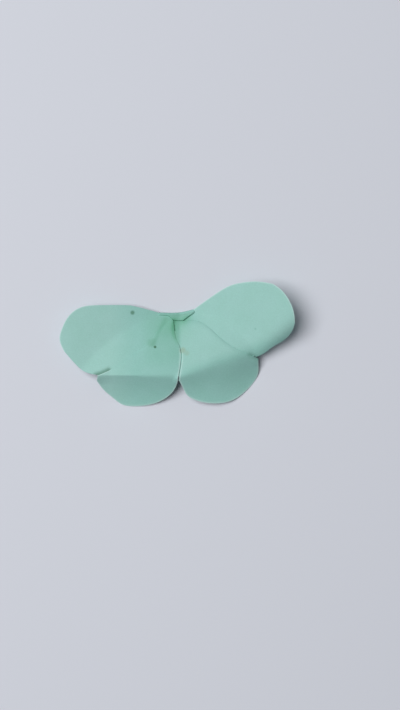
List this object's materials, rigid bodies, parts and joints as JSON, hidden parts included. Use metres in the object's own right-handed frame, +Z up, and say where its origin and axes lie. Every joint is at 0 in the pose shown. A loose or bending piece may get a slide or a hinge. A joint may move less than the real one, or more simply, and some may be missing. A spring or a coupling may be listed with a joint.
{
  "type": "paper butterfly",
  "caption": "Small butterfly folded from a square of pale green craft paper, with rounded cut wings, lying face up.",
  "frame": {"origin": "on the surface that the butterfly lies on, under the middle of its outline", "axes": "+X from the left wing to the right wing as seen from above, +Y towards the head, +Z up"},
  "size_m": [0.0766, 0.0408, 0.0136],
  "materials": {
    "green_paper": "matt dyed craft paper with a faint fibre grain"
  },
  "bodies": {
    "root": {"folded_sheet": "green_paper"}
  },
  "joints": []
}
